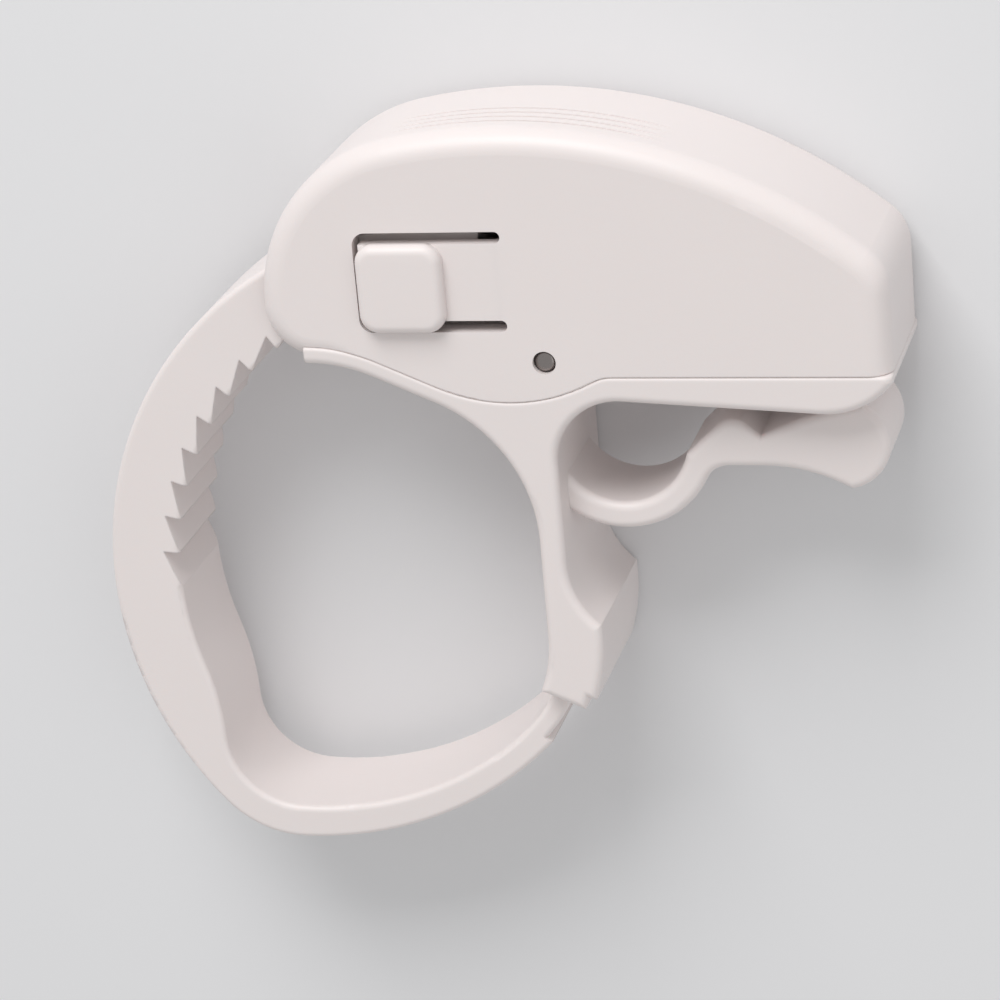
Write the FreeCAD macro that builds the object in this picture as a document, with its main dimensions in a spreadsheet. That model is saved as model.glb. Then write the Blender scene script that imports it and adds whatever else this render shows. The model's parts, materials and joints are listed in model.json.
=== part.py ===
import FreeCAD, Part
import math
import os
import Sketcher

# Cable clip, lying on its far side wall.
# X runs along the clip, Y is the clip's height, Z goes through its thickness and out of the button side.
# Sketches are drawn from the pivot pin's axis, in millimetres and degrees.

SIZES = [
    ("body_width", 10.0, "thickness of the clip over both side walls"),
    ("wall", 1.3, "wall of the shell"),
    ("fit", 0.05, "clearance of pieces that locate each other"),
    # shell outline
    ("shell_right", 18.0, "pin axis to the right end of the shell"),
    ("shell_left", 15.1, "pin axis to the left end of the shell"),
    ("crown_back", 2.0, "centre of the crown's arc, left of the pin"),
    ("crown_height", 12.4, "pin axis to the top of the crown"),
    ("crown_radius", 30.0, "arc of the crown"),
    ("nose_radius", 2.6, "upper right corner of the shell"),
    ("shoulder_radius", 9.0, "left shoulder of the shell"),
    ("chin_radius", 2.9, "chin below the strap's mouth"),
    ("chin_run_out", 2.0, "curve that carries the shell's rounding past the chin"),
    ("edge_round", 1.25, "rounding between the shell's sides and its crown"),
    ("mouth_angle", 152.0, "where the top wall ends over the strap, round the shoulder"),
    # seam between shell and frame
    ("seam_drop", 0.84, "pin axis down to the straight seam"),
    ("joint_back", 12.95, "pin axis to the upright joint at the chin"),
    ("joint_rise", 0.87, "pin axis up to the seam at the chin"),
    ("seam_left_radius", 9.6, "seam arc beside the chin"),
    ("belly_radius", 9.5, "seam arc under the pin"),
    ("belly_back", 2.0, "centre of the belly arc, left of the pin"),
    ("belly_drop", 2.2, "pin axis down to the lowest seam"),
    ("seam_blend", 2.0, "seam arc between belly and straight seam"),
    ("seam_edge", 0.1, "rounded edge of the shell at the seam"),
    ("rim_edge", 0.18, "rounded edge of the rim at the seam"),
    # fine grooves in the crown
    ("groove_inset", 2.0, "side wall to the first groove"),
    ("groove_pitch", 0.8, "from groove to groove"),
    ("grooves", 4, "number of grooves"),
    ("groove_width", 0.18, "width of a groove"),
    ("groove_depth", 0.1, "depth in the middle, from where a groove runs out to both ends"),
    ("groove_middle", 87.0, "middle of the grooves, round the crown's centre"),
    ("groove_half", 14.0, "half of a groove's length, as an angle"),
    # rim and neck of the frame
    ("rim_thin", 0.95, "rim under the left end of the shell"),
    ("rim_drop", 2.2, "pin axis down to the rim above the small loop's centre"),
    ("rim_tilt", 3.8, "slope of the rim's underside"),
    ("rim_end_back", 3.8, "right end to the start of the rim's end curve"),
    ("rim_end_radius", 4.5, "curve at the rim's end"),
    ("frame_round", 0.45, "rounded edges of the frame's full width"),
    ("neck_right", 0.2, "right side of the neck from the pin axis"),
    ("neck_fillet", 3.4, "curve between rim and neck in the small loop"),
    ("waist_drop", 11.2, "pin axis down to where the arm swells"),
    # large loop
    ("arm_back", 9.1, "centre of the arm's arcs, left of the pin"),
    ("arm_drop", 15.6, "centre of the arm's arcs, below the pin"),
    ("arm_inner", 7.95, "inner radius of the arm"),
    ("arm_outer", 10.95, "outer radius of the arm"),
    ("arm_swell", 4.6, "radius where the neck runs out into the arm"),
    ("arm_top_angle", 4.0, "start of the arm's outer arc"),
    ("arm_end_angle", -23.0, "step where the arm becomes the strap"),
    ("loop_corner", 8.5, "inner curve of the loop between neck and rim"),
    ("band_overlap", 8.0, "angle that the strap runs into the arm"),
    ("band_outer", 10.0, "outer radius of the strap beside the arm"),
    ("band_thick", 1.5, "strap at its thin end"),
    ("band_sweep", 22.0, "angle of the strap's first arc"),
    ("bottom_radius", 20.0, "outer radius of the strap's bottom"),
    ("bottom_thick", 1.9, "strap where the bend starts"),
    ("bend_radius", 6.0, "outer radius of the lower left bend"),
    ("thickening_radius", 15.0, "inner curve where the strap thickens"),
    ("strap_radius", 20.3, "outer radius of the toothed arm"),
    ("strap_gap", 1.0, "gap between the teeth and the end of the rim"),
    ("strap_rise", 7.12, "pin axis up to the toothed arm's highest point"),
    ("strap_end", 83.8, "free end of the strap, from the strap's centre"),
    ("strap_play", 0.3, "play of the strap beside each wall of the shell"),
    ("strap_thick", 3.9, "toothed arm over its teeth"),
    ("strap_round", 0.3, "rounded edges of the strap"),
    ("grip_height", 0.4, "grip pads above the back of arm and strap"),
    ("arm_grip_end", -19.0, "end of the grip pad on the arm, from the arm's centre"),
    ("strap_grip_start", -42.9, "start of the grip pad on the strap, from the arm's centre"),
    # teeth
    ("tooth_depth", 0.9, "depth of a ratchet tooth"),
    ("tooth_pitch", 7.0, "angle from tooth to tooth"),
    ("teeth", 13, "gaps between the teeth"),
    ("lock_angle", 97.1, "steep flank that the pawl holds, from the strap's centre"),
    # small loop and finger lever
    ("lever_inset", 2.0, "finger lever inside the rim's sides"),
    ("lever_round", 0.45, "rounded edges of the finger lever"),
    ("loop_right", 3.2, "centre of the small loop from the pin axis"),
    ("loop_drop", 5.0, "centre of the small loop below the pin axis"),
    ("loop_radius", 3.55, "inside of the small loop"),
    ("hook_thick", 1.45, "band round the small loop"),
    ("loop_start", 200.0, "angle where the loop's inside runs into the neck"),
    ("band_start", 230.0, "angle where the band's outside runs into the neck"),
    ("loop_mouth", -14.0, "angle where the small loop opens towards the lever"),
    ("bump_back", 9.15, "centre of the bump that keeps the cable in, from the pin axis"),
    ("bump_drop", 5.05, "centre of the bump below the pin axis"),
    ("bump_radius", 1.15, "curve of the bump"),
    ("bump_end", 50.0, "angle where the bump runs into the dip"),
    ("dip_back", 10.65, "dip behind the bump, from the pin axis"),
    ("tab_top_back", 16.1, "upper end of the tab's tip, from the pin axis"),
    ("tab_top_drop", 3.05, "upper end of the tab's tip, below the pin axis"),
    ("tab_top_radius", 18.0, "curve of the lever's upper side"),
    ("tab_reach", 17.4, "tip of the thumb tab from the pin axis"),
    ("tab_middle_drop", 5.3, "tip of the thumb tab below the pin axis"),
    ("tab_low_back", 15.3, "lower end of the tab's tip, from the pin axis"),
    ("tab_low_drop", 7.75, "lower end of the tab's tip, below the pin axis"),
    ("tab_under_radius", 9.0, "hollow under the thumb tab"),
    ("lever_under", 6.5, "underside of the lever below the pin axis"),
    ("heel_radius", 1.3, "hollow between lever and small loop"),
    # button and its slot
    ("slot_left", 9.7, "pin axis to the left end of the button's slot"),
    ("button_root", 2.1, "pin axis to the root of the button's tongue"),
    ("tongue_thick", 0.8, "tongue, thinner than the wall so that it bends"),
    ("slot_low", 1.7, "pin axis up to the lower slot"),
    ("slot_high", 7.1, "pin axis up to the upper slot's far edge"),
    ("slot_gap", 0.62, "width of the upper and lower slots"),
    ("slot_end_gap", 0.3, "width of the slot at the tongue's end"),
    ("slot_corner", 0.7, "corners of the slot"),
    ("slot_depth", 1.6, "depth of the slot's cut, through the wall"),
    ("pad_length", 4.6, "length of the raised pad"),
    ("pad_overhang", 0.12, "pad over the tongue's edges"),
    ("pad_low_overhang", 0.5, "pad over the lower slot"),
    ("pad_height", 0.8, "pad above the side wall"),
    ("pad_corner", 1.0, "corners of the pad"),
    ("pad_round", 0.5, "rounded edge of the pad"),
    ("wedge_start", 7.0, "pin axis to the left side of the release wedge"),
    ("wedge_length", 1.6, "length of the release wedge"),
    ("wedge_gap", 0.15, "play between wedge and pawl"),
    ("wedge_low", 1.9, "pin axis up to the wedge's foot"),
    ("wedge_high", 3.1, "pin axis up to the wedge's top"),
    ("wedge_root", 0.08, "wedge inside the tongue's lower edge"),
    ("wedge_clear", 0.2, "wedge's foot below the side wall"),
    # pin
    ("pin_diameter", 1.2, "steel pin"),
    ("pin_recess", 0.2, "pin end below the side wall"),
    ("pin_chamfer", 0.12, "chamfer of the pin's ends"),
    ("pin_fit", 0.02, "radial clearance of the pin in the walls"),
    ("pawl_fit", 0.05, "radial clearance of the pawl on the pin"),
    # pawl
    ("hub_radius", 1.75, "hub of the pawl"),
    ("hub_top", 100.0, "angle where the arm's top runs out of the hub"),
    ("hub_foot", -110.0, "angle where the arm's underside runs out of the hub"),
    ("pawl_top", 2.85, "top of the pawl's arm above the pin axis"),
    ("pawl_top_end", 3.0, "right end of the arm's flat top, left of the pin"),
    ("nose_play", 0.6, "angle between the nose and the steep flank"),
    ("nose_gap", 0.3, "play between the nose and the root of the teeth"),
    ("nose_side_gap", 0.2, "play between the nose and the sloping flank"),
    ("arm_left", 9.3, "left end of the pawl's underside"),
    ("arm_left_rise", 1.9, "left end of the pawl's underside above the pin axis"),
    ("pawl_low", 0.1, "underside of the pawl above the spring, from the pin axis"),
    ("pawl_low_left", 6.0, "left end of the flat underside"),
    ("pawl_low_right", 3.1, "right end of the flat underside"),
    ("wedge_face", 1.0, "width of the pawl's sloped side"),
    ("wedge_face_drop", 1.4, "height of the pawl's sloped side"),
    ("wedge_face_start", 7.6, "left end of the sloped side"),
    ("wedge_face_end", 3.6, "right end of the sloped side"),
    # lugs that carry the pin
    ("lug_radius", 2.0, "lug round the pin"),
    ("lug_thick", 0.7, "thickness of a lug"),
    ("lug_side_gap", 0.15, "play between pawl and lugs"),
    ("lug_foot", 0.2, "lug's foot inside the rim"),
    # locating block
    ("block_start", 7.5, "pin axis to the locating block"),
    ("block_rise", 1.6, "height of the locating block above the seam"),
    ("block_foot", 0.4, "locating block inside the rim"),
    ("block_gap", 0.35, "play at the block's end"),
    # spring
    ("spring_back", 4.6, "pin axis to the spring's axis"),
    ("spring_diameter", 2.2, "outside of the spring"),
    ("spring_wire", 0.3, "wire of the spring"),
    ("spring_coils", 4, "turns of the spring"),
    ("seat_diameter", 2.6, "seat of the spring in the frame"),
    ("seat_drop", 2.29, "pin axis down to the spring's seat"),
    ("peg_diameter", 1.3, "peg that centres the spring"),
    ("peg_length", 0.7, "length of the peg"),
]

doc = FreeCAD.newDocument("cable_clip")
sheet = doc.addObject("Spreadsheet::Sheet", "Sizes")
for row, (alias, number, note) in enumerate(SIZES, start=1):
    sheet.set(f"A{row}", alias)
    sheet.set(f"B{row}", str(number))
    sheet.setAlias(f"B{row}", alias)
    sheet.set(f"C{row}", note)
doc.recompute()


class Size:
    """A number together with the formula that gives it from the sheet."""

    def __init__(self, value, text):
        self.value = float(value)
        self.text = text

    def __add__(self, other):
        other = size(other)
        return Size(self.value + other.value, f"({self.text} + {other.text})")

    def __sub__(self, other):
        other = size(other)
        return Size(self.value - other.value, f"({self.text} - {other.text})")

    def __mul__(self, other):
        other = size(other)
        return Size(self.value * other.value, f"({self.text} * {other.text})")

    def __truediv__(self, other):
        other = size(other)
        return Size(self.value / other.value, f"({self.text} / {other.text})")

    def __neg__(self):
        return Size(-self.value, f"(0 - {self.text})")

    __radd__ = __add__
    __rmul__ = __mul__

    def __rsub__(self, other):
        return size(other) - self


def size(number):
    """A plain number as a Size."""
    if isinstance(number, Size):
        return number
    return Size(number, f"({float(number)!r})")


def root(number):
    return Size(math.sqrt(number.value), f"sqrt({number.text})")


def sine(angle):
    angle = size(angle)
    return Size(math.sin(math.radians(angle.value)), f"sin({angle.text})")


def cosine(angle):
    angle = size(angle)
    return Size(math.cos(math.radians(angle.value)), f"cos({angle.text})")


def heading(start, end):
    """The angle of the way from start to end."""
    x, y = end[0] - start[0], end[1] - start[1]
    return Size(math.degrees(math.atan2(y.value, x.value)), f"(atan2({y.text}; {x.text}) / 1 deg)")


def distance(start, end):
    """The length of the way from start to end."""
    x, y = end[0] - start[0], end[1] - start[1]
    return root(x * x + y * y)


def arc_cosine(share):
    """The angle that has a given cosine."""
    return Size(math.degrees(math.acos(share.value)), f"(acos({share.text}) / 1 deg)")


def arc_through(reach, rise):
    """The radius of an arc that leaves upright and goes a reach sideways and a rise along."""
    return (reach * reach + rise * rise) / (reach * 2)


def corner(first, second, opposite):
    """The angle between two sides of a triangle, from its three sides."""
    return arc_cosine((first * first + second * second - opposite * opposite) / (2 * first * second))


class Sheet:
    """The sheet's cells as sizes: S.wall is the wall."""

    def __getattr__(self, alias):
        return Size(sheet.get(alias), f"Sizes.{alias}")


S = Sheet()
HALF_WIDTH = S.body_width / 2
STRAP_WIDTH = S.body_width - S.wall * 2 - S.strap_play * 2
PAWL_WIDTH = S.body_width - (S.wall + S.fit + S.lug_thick + S.lug_side_gap) * 2
LEVER_WIDTH = S.body_width - S.lever_inset * 2


def polar(centre, radius, angle):
    """The point at an angle round a centre."""
    return (centre[0] + radius * cosine(angle), centre[1] + radius * sine(angle))


def along(start, end, share):
    """The point at a share of the way from start to end."""
    return (start[0] + (end[0] - start[0]) * share, start[1] + (end[1] - start[1]) * share)


class Outline:
    """A closed outline of lines and arcs, walked from point to point."""

    def __init__(self, x, y):
        self.points = [(size(x), size(y))]
        self.edges = []

    def line(self, x, y):
        self.points.append((size(x), size(y)))
        self.edges.append(None)
        return self

    def arc(self, point, radius, left, large=False):
        """An arc whose centre is on the left or right of the way walked."""
        self.points.append((size(point[0]), size(point[1])))
        self.edges.append((size(radius), left, large))
        return self

    def close(self, arc=None):
        self.edges.append(arc)
        return self


def arc_edge(start, end, radius, left, large):
    """The arc between two points, with its centre on the given side."""
    chord = end - start
    half = chord.Length / 2
    reach = math.sqrt(max(radius * radius - half * half, 0.0))
    normal = FreeCAD.Vector(-chord.y, chord.x, 0).normalize()
    side = 1 if left != large else -1
    centre = start + chord * 0.5 + normal * (reach * side)
    to_start = (start - centre)
    to_end = (end - centre)
    first = math.atan2(to_start.y, to_start.x)
    last = math.atan2(to_end.y, to_end.x)
    circle = Part.Circle(centre, FreeCAD.Vector(0, 0, 1), radius)
    if left:
        return Part.ArcOfCircle(circle, first, last), 1, 2
    return Part.ArcOfCircle(circle, last, first), 2, 1


def origin_plane(body, role):
    for feature in body.Origin.OriginFeatures:
        if feature.Role == role:
            return feature
    raise ValueError(role)


def new_sketch(body, name, height=0.0, role="XY_Plane", place=None):
    """A sketch on one of the body's planes, moved along the plane's normal."""
    sketch = body.newObject("Sketcher::SketchObject", name)
    sketch.AttachmentSupport = [(origin_plane(body, role), "")]
    sketch.MapMode = "FlatFace"
    height = size(height)
    x, y = place if place else (size(0), size(0))
    sketch.AttachmentOffset = FreeCAD.Placement(
        FreeCAD.Vector(x.value, y.value, height.value), FreeCAD.Rotation())
    sketch.setExpression("AttachmentOffset.Base.x", x.text)
    sketch.setExpression("AttachmentOffset.Base.y", y.text)
    sketch.setExpression("AttachmentOffset.Base.z", height.text)
    return sketch


def dimension(sketch, kind, parts, amount):
    """A driving dimension that follows the sheet."""
    index = sketch.addConstraint(Sketcher.Constraint(kind, *parts, amount.value))
    sketch.setExpression(f"Constraints[{index}]", amount.text)


def draw(sketch, outline):
    """Draw a closed outline and tie every corner and radius to the sheet."""
    spots = [FreeCAD.Vector(x.value, y.value, 0) for x, y in outline.points]
    ends = []
    count = len(spots)
    for number, edge in enumerate(outline.edges):
        start = spots[number]
        end = spots[(number + 1) % count]
        if edge is None:
            geometry, first, last = Part.LineSegment(start, end), 1, 2
        else:
            geometry, first, last = arc_edge(start, end, edge[0].value, edge[1], edge[2])
        index = sketch.addGeometry(geometry, False)
        ends.append((index, first, last))
    for number, (index, first, last) in enumerate(ends):
        following = ends[(number + 1) % count]
        sketch.addConstraint(Sketcher.Constraint("Coincident", index, last, following[0], following[1]))
        x, y = outline.points[number]
        dimension(sketch, "DistanceX", (-1, 1, index, first), x)
        dimension(sketch, "DistanceY", (-1, 1, index, first), y)
        edge = outline.edges[number]
        if edge is not None:
            dimension(sketch, "Radius", (index,), edge[0])
    return sketch


def draw_circle(sketch, centre, radius):
    """Draw a circle tied to the sheet."""
    middle = FreeCAD.Vector(size(centre[0]).value, size(centre[1]).value, 0)
    index = sketch.addGeometry(Part.Circle(middle, FreeCAD.Vector(0, 0, 1), radius.value), False)
    dimension(sketch, "DistanceX", (-1, 1, index, 3), size(centre[0]))
    dimension(sketch, "DistanceY", (-1, 1, index, 3), size(centre[1]))
    dimension(sketch, "Radius", (index,), radius)
    return sketch


def pad(body, name, sketch, length, middle=False):
    """Pad a sketch upwards, or to both sides of its plane."""
    feature = body.newObject("PartDesign::Pad", name)
    feature.Profile = sketch
    feature.SideType = "Symmetric" if middle else "One side"
    feature.Length = length.value
    feature.setExpression("Length", length.text)
    doc.recompute()
    return feature


def pocket(body, name, sketch, length, middle=False, upwards=False):
    """Cut a sketch out of the body and make sure that it cuts something."""
    before = body.Shape.Volume
    feature = body.newObject("PartDesign::Pocket", name)
    feature.Profile = sketch
    feature.SideType = "Symmetric" if middle else "One side"
    feature.Reversed = upwards
    feature.Length = length.value
    feature.setExpression("Length", length.text)
    doc.recompute()
    if feature.Shape.Volume >= before - 1e-6:
        raise ValueError(f"{name} cuts nothing")
    return feature


def edges_where(shape, test):
    """Names of the edges that pass a test."""
    return [f"Edge{number}" for number, edge in enumerate(shape.Edges, start=1) if test(edge)]


def flat_at(edge, height):
    """True where an edge lies in the plane at a height."""
    box = edge.BoundBox
    return abs(box.ZMin - height) < 1e-4 and abs(box.ZMax - height) < 1e-4


SMALL = 0.05


def faces(shape, edge, direction):
    """True where the solid is on the given side of an edge, up (1) or down (-1), and not on the other."""
    middle = edge.valueAt((edge.FirstParameter + edge.LastParameter) / 2)
    depth = shape.BoundBox.Center.z
    ahead = FreeCAD.Vector(middle.x, middle.y + SMALL * direction, depth)
    behind = FreeCAD.Vector(middle.x, middle.y - SMALL * direction, depth)
    return shape.isInside(ahead, 1e-6, False) and not shape.isInside(behind, 1e-6, False)


def upright(edge, back=None):
    """True for an edge that runs along Y, anywhere or at a distance left of the pin."""
    box = edge.BoundBox
    return box.XLength < 1e-4 and (back is None or abs(box.XMin + back.value) < SMALL)


def fillet(body, name, radius, test):
    """Round the edges of the body's last feature that pass a test."""
    base = body.Tip
    feature = body.newObject("PartDesign::Fillet", name)
    feature.Base = (base, edges_where(base.Shape, test))
    feature.Radius = radius.value
    feature.setExpression("Radius", radius.text)
    doc.recompute()
    if "Invalid" in feature.State or not feature.Shape.isValid():
        raise ValueError(f"{name} can't be rounded")
    return feature


def repeat(body, name, feature, sketch, count, total_angle):
    """Repeat a feature round its sketch's own normal axis."""
    pattern = body.newObject("PartDesign::PolarPattern", name)
    pattern.Originals = [feature]
    pattern.Axis = (sketch, ["N_Axis"])
    pattern.Angle = abs(total_angle.value)
    pattern.setExpression("Angle", total_angle.text)
    pattern.Occurrences = int(count.value)
    pattern.setExpression("Occurrences", count.text)
    body.Tip = pattern
    doc.recompute()
    return pattern


def new_body(name):
    body = doc.addObject("PartDesign::Body", name)
    body.Label = name
    return body


# Centres and meeting points that several outlines share

CROWN = (-S.crown_back, S.crown_height - S.crown_radius)
NOSE_X = S.shell_right - S.nose_radius
NOSE_REACH = S.crown_radius - S.nose_radius
NOSE_SIDE = NOSE_X - CROWN[0]
NOSE = (NOSE_X, CROWN[1] + root(NOSE_REACH * NOSE_REACH - NOSE_SIDE * NOSE_SIDE))
SHOULDER_X = S.shoulder_radius - S.shell_left
SHOULDER_REACH = S.crown_radius - S.shoulder_radius
SHOULDER_SIDE = SHOULDER_X - CROWN[0]
SHOULDER = (SHOULDER_X, CROWN[1] + root(SHOULDER_REACH * SHOULDER_REACH - SHOULDER_SIDE * SHOULDER_SIDE))
CHIN = (S.chin_radius - S.shell_left, SHOULDER[1])

SEAM_START = (-S.joint_back, S.joint_rise)
SEAM_LEFT = (-S.joint_back, S.joint_rise - S.seam_left_radius)
BELLY = (-S.belly_back, S.belly_radius - S.belly_drop)
BLEND_REACH = S.belly_radius + S.seam_blend
BLEND_RISE = BELLY[1] + S.seam_drop + S.seam_blend
BLEND = (BELLY[0] + root(BLEND_REACH * BLEND_REACH - BLEND_RISE * BLEND_RISE), -S.seam_drop - S.seam_blend)
SEAM_RUN = (BELLY[0] - SEAM_LEFT[0], BELLY[1] - SEAM_LEFT[1])
SEAM_SPAN = root(SEAM_RUN[0] * SEAM_RUN[0] + SEAM_RUN[1] * SEAM_RUN[1])
SEAM_TILT = Size(
    math.degrees(math.atan2(SEAM_RUN[1].value, SEAM_RUN[0].value)
                 + math.acos((S.seam_left_radius + S.belly_radius).value / SEAM_SPAN.value)),
    f"(atan2({SEAM_RUN[1].text}; {SEAM_RUN[0].text}) + "
    f"acos({(S.seam_left_radius + S.belly_radius).text} / {SEAM_SPAN.text}))")


def seam_points():
    """The seam's corners from the chin to the right end."""
    return [
        SEAM_START,
        polar(SEAM_LEFT, S.seam_left_radius, SEAM_TILT),
        polar(BELLY, -S.belly_radius, SEAM_TILT),
        along(BELLY, BLEND, S.belly_radius / BLEND_REACH),
        (BLEND[0], -S.seam_drop),
        (S.shell_right, -S.seam_drop),
    ]


def walk_seam(outline):
    """Continue an outline along the seam, from its left end to its right end."""
    seam = seam_points()
    outline.arc(seam[1], S.seam_left_radius, left=False)
    outline.line(*seam[2])
    outline.arc(seam[3], S.belly_radius, left=True)
    outline.arc(seam[4], S.seam_blend, left=False)
    outline.line(*seam[5])
    return outline


ARM = (-S.arm_back, -S.arm_drop)
TIP_RADIUS = S.strap_radius - S.strap_thick
ROOT_RADIUS = TIP_RADIUS + S.tooth_depth
STRAP_Y = S.strap_rise - S.strap_radius
GATE_RISE = S.joint_rise - STRAP_Y
GATE_REACH = root(TIP_RADIUS * TIP_RADIUS - GATE_RISE * GATE_RISE)
STRAP = (GATE_REACH - S.joint_back - S.strap_gap, STRAP_Y)
BAND_END = S.arm_end_angle - S.band_sweep
BOTTOM = polar(ARM, S.band_outer - S.bottom_radius, BAND_END)
STRAP_TO_BEND = S.strap_radius - S.bend_radius
BEND_END = heading(STRAP, BOTTOM) + corner(
    STRAP_TO_BEND, distance(STRAP, BOTTOM), S.bottom_radius - S.bend_radius)
BEND = polar(STRAP, STRAP_TO_BEND, BEND_END)
BOTTOM_END = heading(BOTTOM, BEND)


def make_shell():
    """Upper housing: a hollow moulding, open below and at the strap's mouth."""
    body = new_body("shell")
    chin_foot = (CHIN[0], CHIN[1] - S.chin_radius)
    under_chin = (CHIN[0] + S.chin_run_out, chin_foot[1] - S.chin_run_out)
    below = -S.belly_drop - S.chin_run_out
    outline = Outline(S.shell_right, below)
    outline.line(S.shell_right, NOSE[1])
    outline.arc(along(CROWN, NOSE, S.crown_radius / NOSE_REACH), S.nose_radius, left=True)
    outline.arc(along(CROWN, SHOULDER, S.crown_radius / SHOULDER_REACH), S.crown_radius, left=True)
    outline.arc((-S.shell_left, SHOULDER[1]), S.shoulder_radius, left=True)
    outline.arc(chin_foot, S.chin_radius, left=True)
    outline.arc(under_chin, S.chin_run_out, left=False)
    outline.line(under_chin[0], below)
    outline.close()
    pad(body, "ShellBlock", draw(new_sketch(body, "ShellOutline"), outline), S.body_width)

    def crown_edge(edge):
        on_side = flat_at(edge, 0) or flat_at(edge, S.body_width.value)
        return on_side and edge.BoundBox.YMax > below.value + 0.01

    fillet(body, "CrownRounding", S.edge_round, crown_edge)

    seam_cut = walk_seam(Outline(*SEAM_START))
    seam_cut.line(S.shell_right + S.wall, -S.seam_drop)
    seam_cut.line(S.shell_right + S.wall, below - S.wall)
    seam_cut.line(-S.joint_back, below - S.wall)
    seam_cut.close()
    seam_sketch = draw(new_sketch(body, "SeamLine", HALF_WIDTH), seam_cut)
    pocket(body, "SeamCut", seam_sketch, S.body_width + S.wall, middle=True)
    shape = body.Tip.Shape

    def seam_edge(edge):
        on_side = flat_at(edge, 0) or flat_at(edge, S.body_width.value)
        return on_side and faces(shape, edge, 1) and not upright(edge)

    fillet(body, "SeamRounding", S.seam_edge, seam_edge)

    hollow = Outline(S.shell_right - S.wall, -S.belly_drop - S.wall)
    hollow.line(S.shell_right - S.wall, NOSE[1])
    hollow.arc(along(CROWN, NOSE, (S.crown_radius - S.wall) / NOSE_REACH), S.nose_radius - S.wall, left=True)
    hollow.arc(along(CROWN, SHOULDER, (S.crown_radius - S.wall) / SHOULDER_REACH),
               S.crown_radius - S.wall, left=True)
    mouth = polar(SHOULDER, S.shoulder_radius - S.wall, S.mouth_angle)
    hollow.arc(mouth, S.shoulder_radius - S.wall, left=True)
    outside = polar(SHOULDER, S.shoulder_radius + S.wall, S.mouth_angle)
    hollow.line(*outside)
    hollow.line(-S.shell_left - S.wall, SHOULDER[1])
    hollow.line(-S.shell_left - S.wall, -S.belly_drop - S.wall)
    hollow.close()
    cavity = draw(new_sketch(body, "Cavity", HALF_WIDTH), hollow)
    pocket(body, "Hollow", cavity, S.body_width - S.wall * 2, middle=True)

    slot_end = S.slot_gap / 2
    window = Outline(-S.button_root, S.slot_low)
    window.arc((slot_end - S.button_root, S.slot_low + slot_end), slot_end, left=True)
    window.arc((-S.button_root, S.slot_low + S.slot_gap), slot_end, left=True)
    window.line(-S.button_root, S.slot_high - S.slot_gap)
    window.arc((slot_end - S.button_root, S.slot_high - slot_end), slot_end, left=True)
    window.arc((-S.button_root, S.slot_high), slot_end, left=True)
    window.line(S.slot_corner - S.slot_left, S.slot_high)
    window.arc((-S.slot_left, S.slot_high - S.slot_corner), S.slot_corner, left=True)
    window.line(-S.slot_left, S.slot_low + S.slot_corner)
    window.arc((S.slot_corner - S.slot_left, S.slot_low), S.slot_corner, left=True)
    window.close()
    slot = draw(new_sketch(body, "ButtonWindow", S.body_width), window)
    pocket(body, "ButtonSlot", slot, S.slot_depth)

    bore = draw_circle(new_sketch(body, "PinCircle", HALF_WIDTH), (0, 0), S.pin_diameter / 2 + S.pin_fit)
    pocket(body, "PinBore", bore, S.body_width + S.wall, middle=True)

    groove_right = S.groove_middle - S.groove_half
    groove_left = S.groove_middle + S.groove_half
    outside = S.crown_radius + S.wall
    # The groove's bottom is a flatter arc than the crown, so it is deepest in its middle.
    crown_rise = S.crown_radius - S.crown_radius * cosine(S.groove_half)
    floor_radius = arc_through(crown_rise - S.groove_depth, S.crown_radius * sine(S.groove_half))
    groove = Outline(*polar(CROWN, S.crown_radius, groove_right))
    groove.arc(polar(CROWN, S.crown_radius, groove_left), floor_radius, left=True)
    groove.line(*polar(CROWN, outside, groove_left))
    groove.arc(polar(CROWN, outside, groove_right), outside, left=False)
    groove.close()
    groove_sketch = draw(new_sketch(body, "GrooveOutline", S.body_width - S.groove_inset), groove)
    cut = pocket(body, "CrownGroove", groove_sketch, S.groove_width)
    row = body.newObject("PartDesign::LinearPattern", "CrownGrooves")
    row.Originals = [cut]
    row.Direction = (groove_sketch, ["N_Axis"])
    row.Reversed = True
    run = S.groove_pitch * (S.grooves - 1)
    row.Length = run.value
    row.setExpression("Length", run.text)
    row.Occurrences = int(S.grooves.value)
    row.setExpression("Occurrences", S.grooves.text)
    body.Tip = row
    doc.recompute()
    return body


def make_frame():
    """Lower moulding: rim, neck, large loop with toothed strap, small loop with finger lever."""
    body = new_body("frame")
    add_rim_neck_arm(body)
    add_strap(body)
    add_finger_lever(body)
    add_inside(body)
    return body


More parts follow.
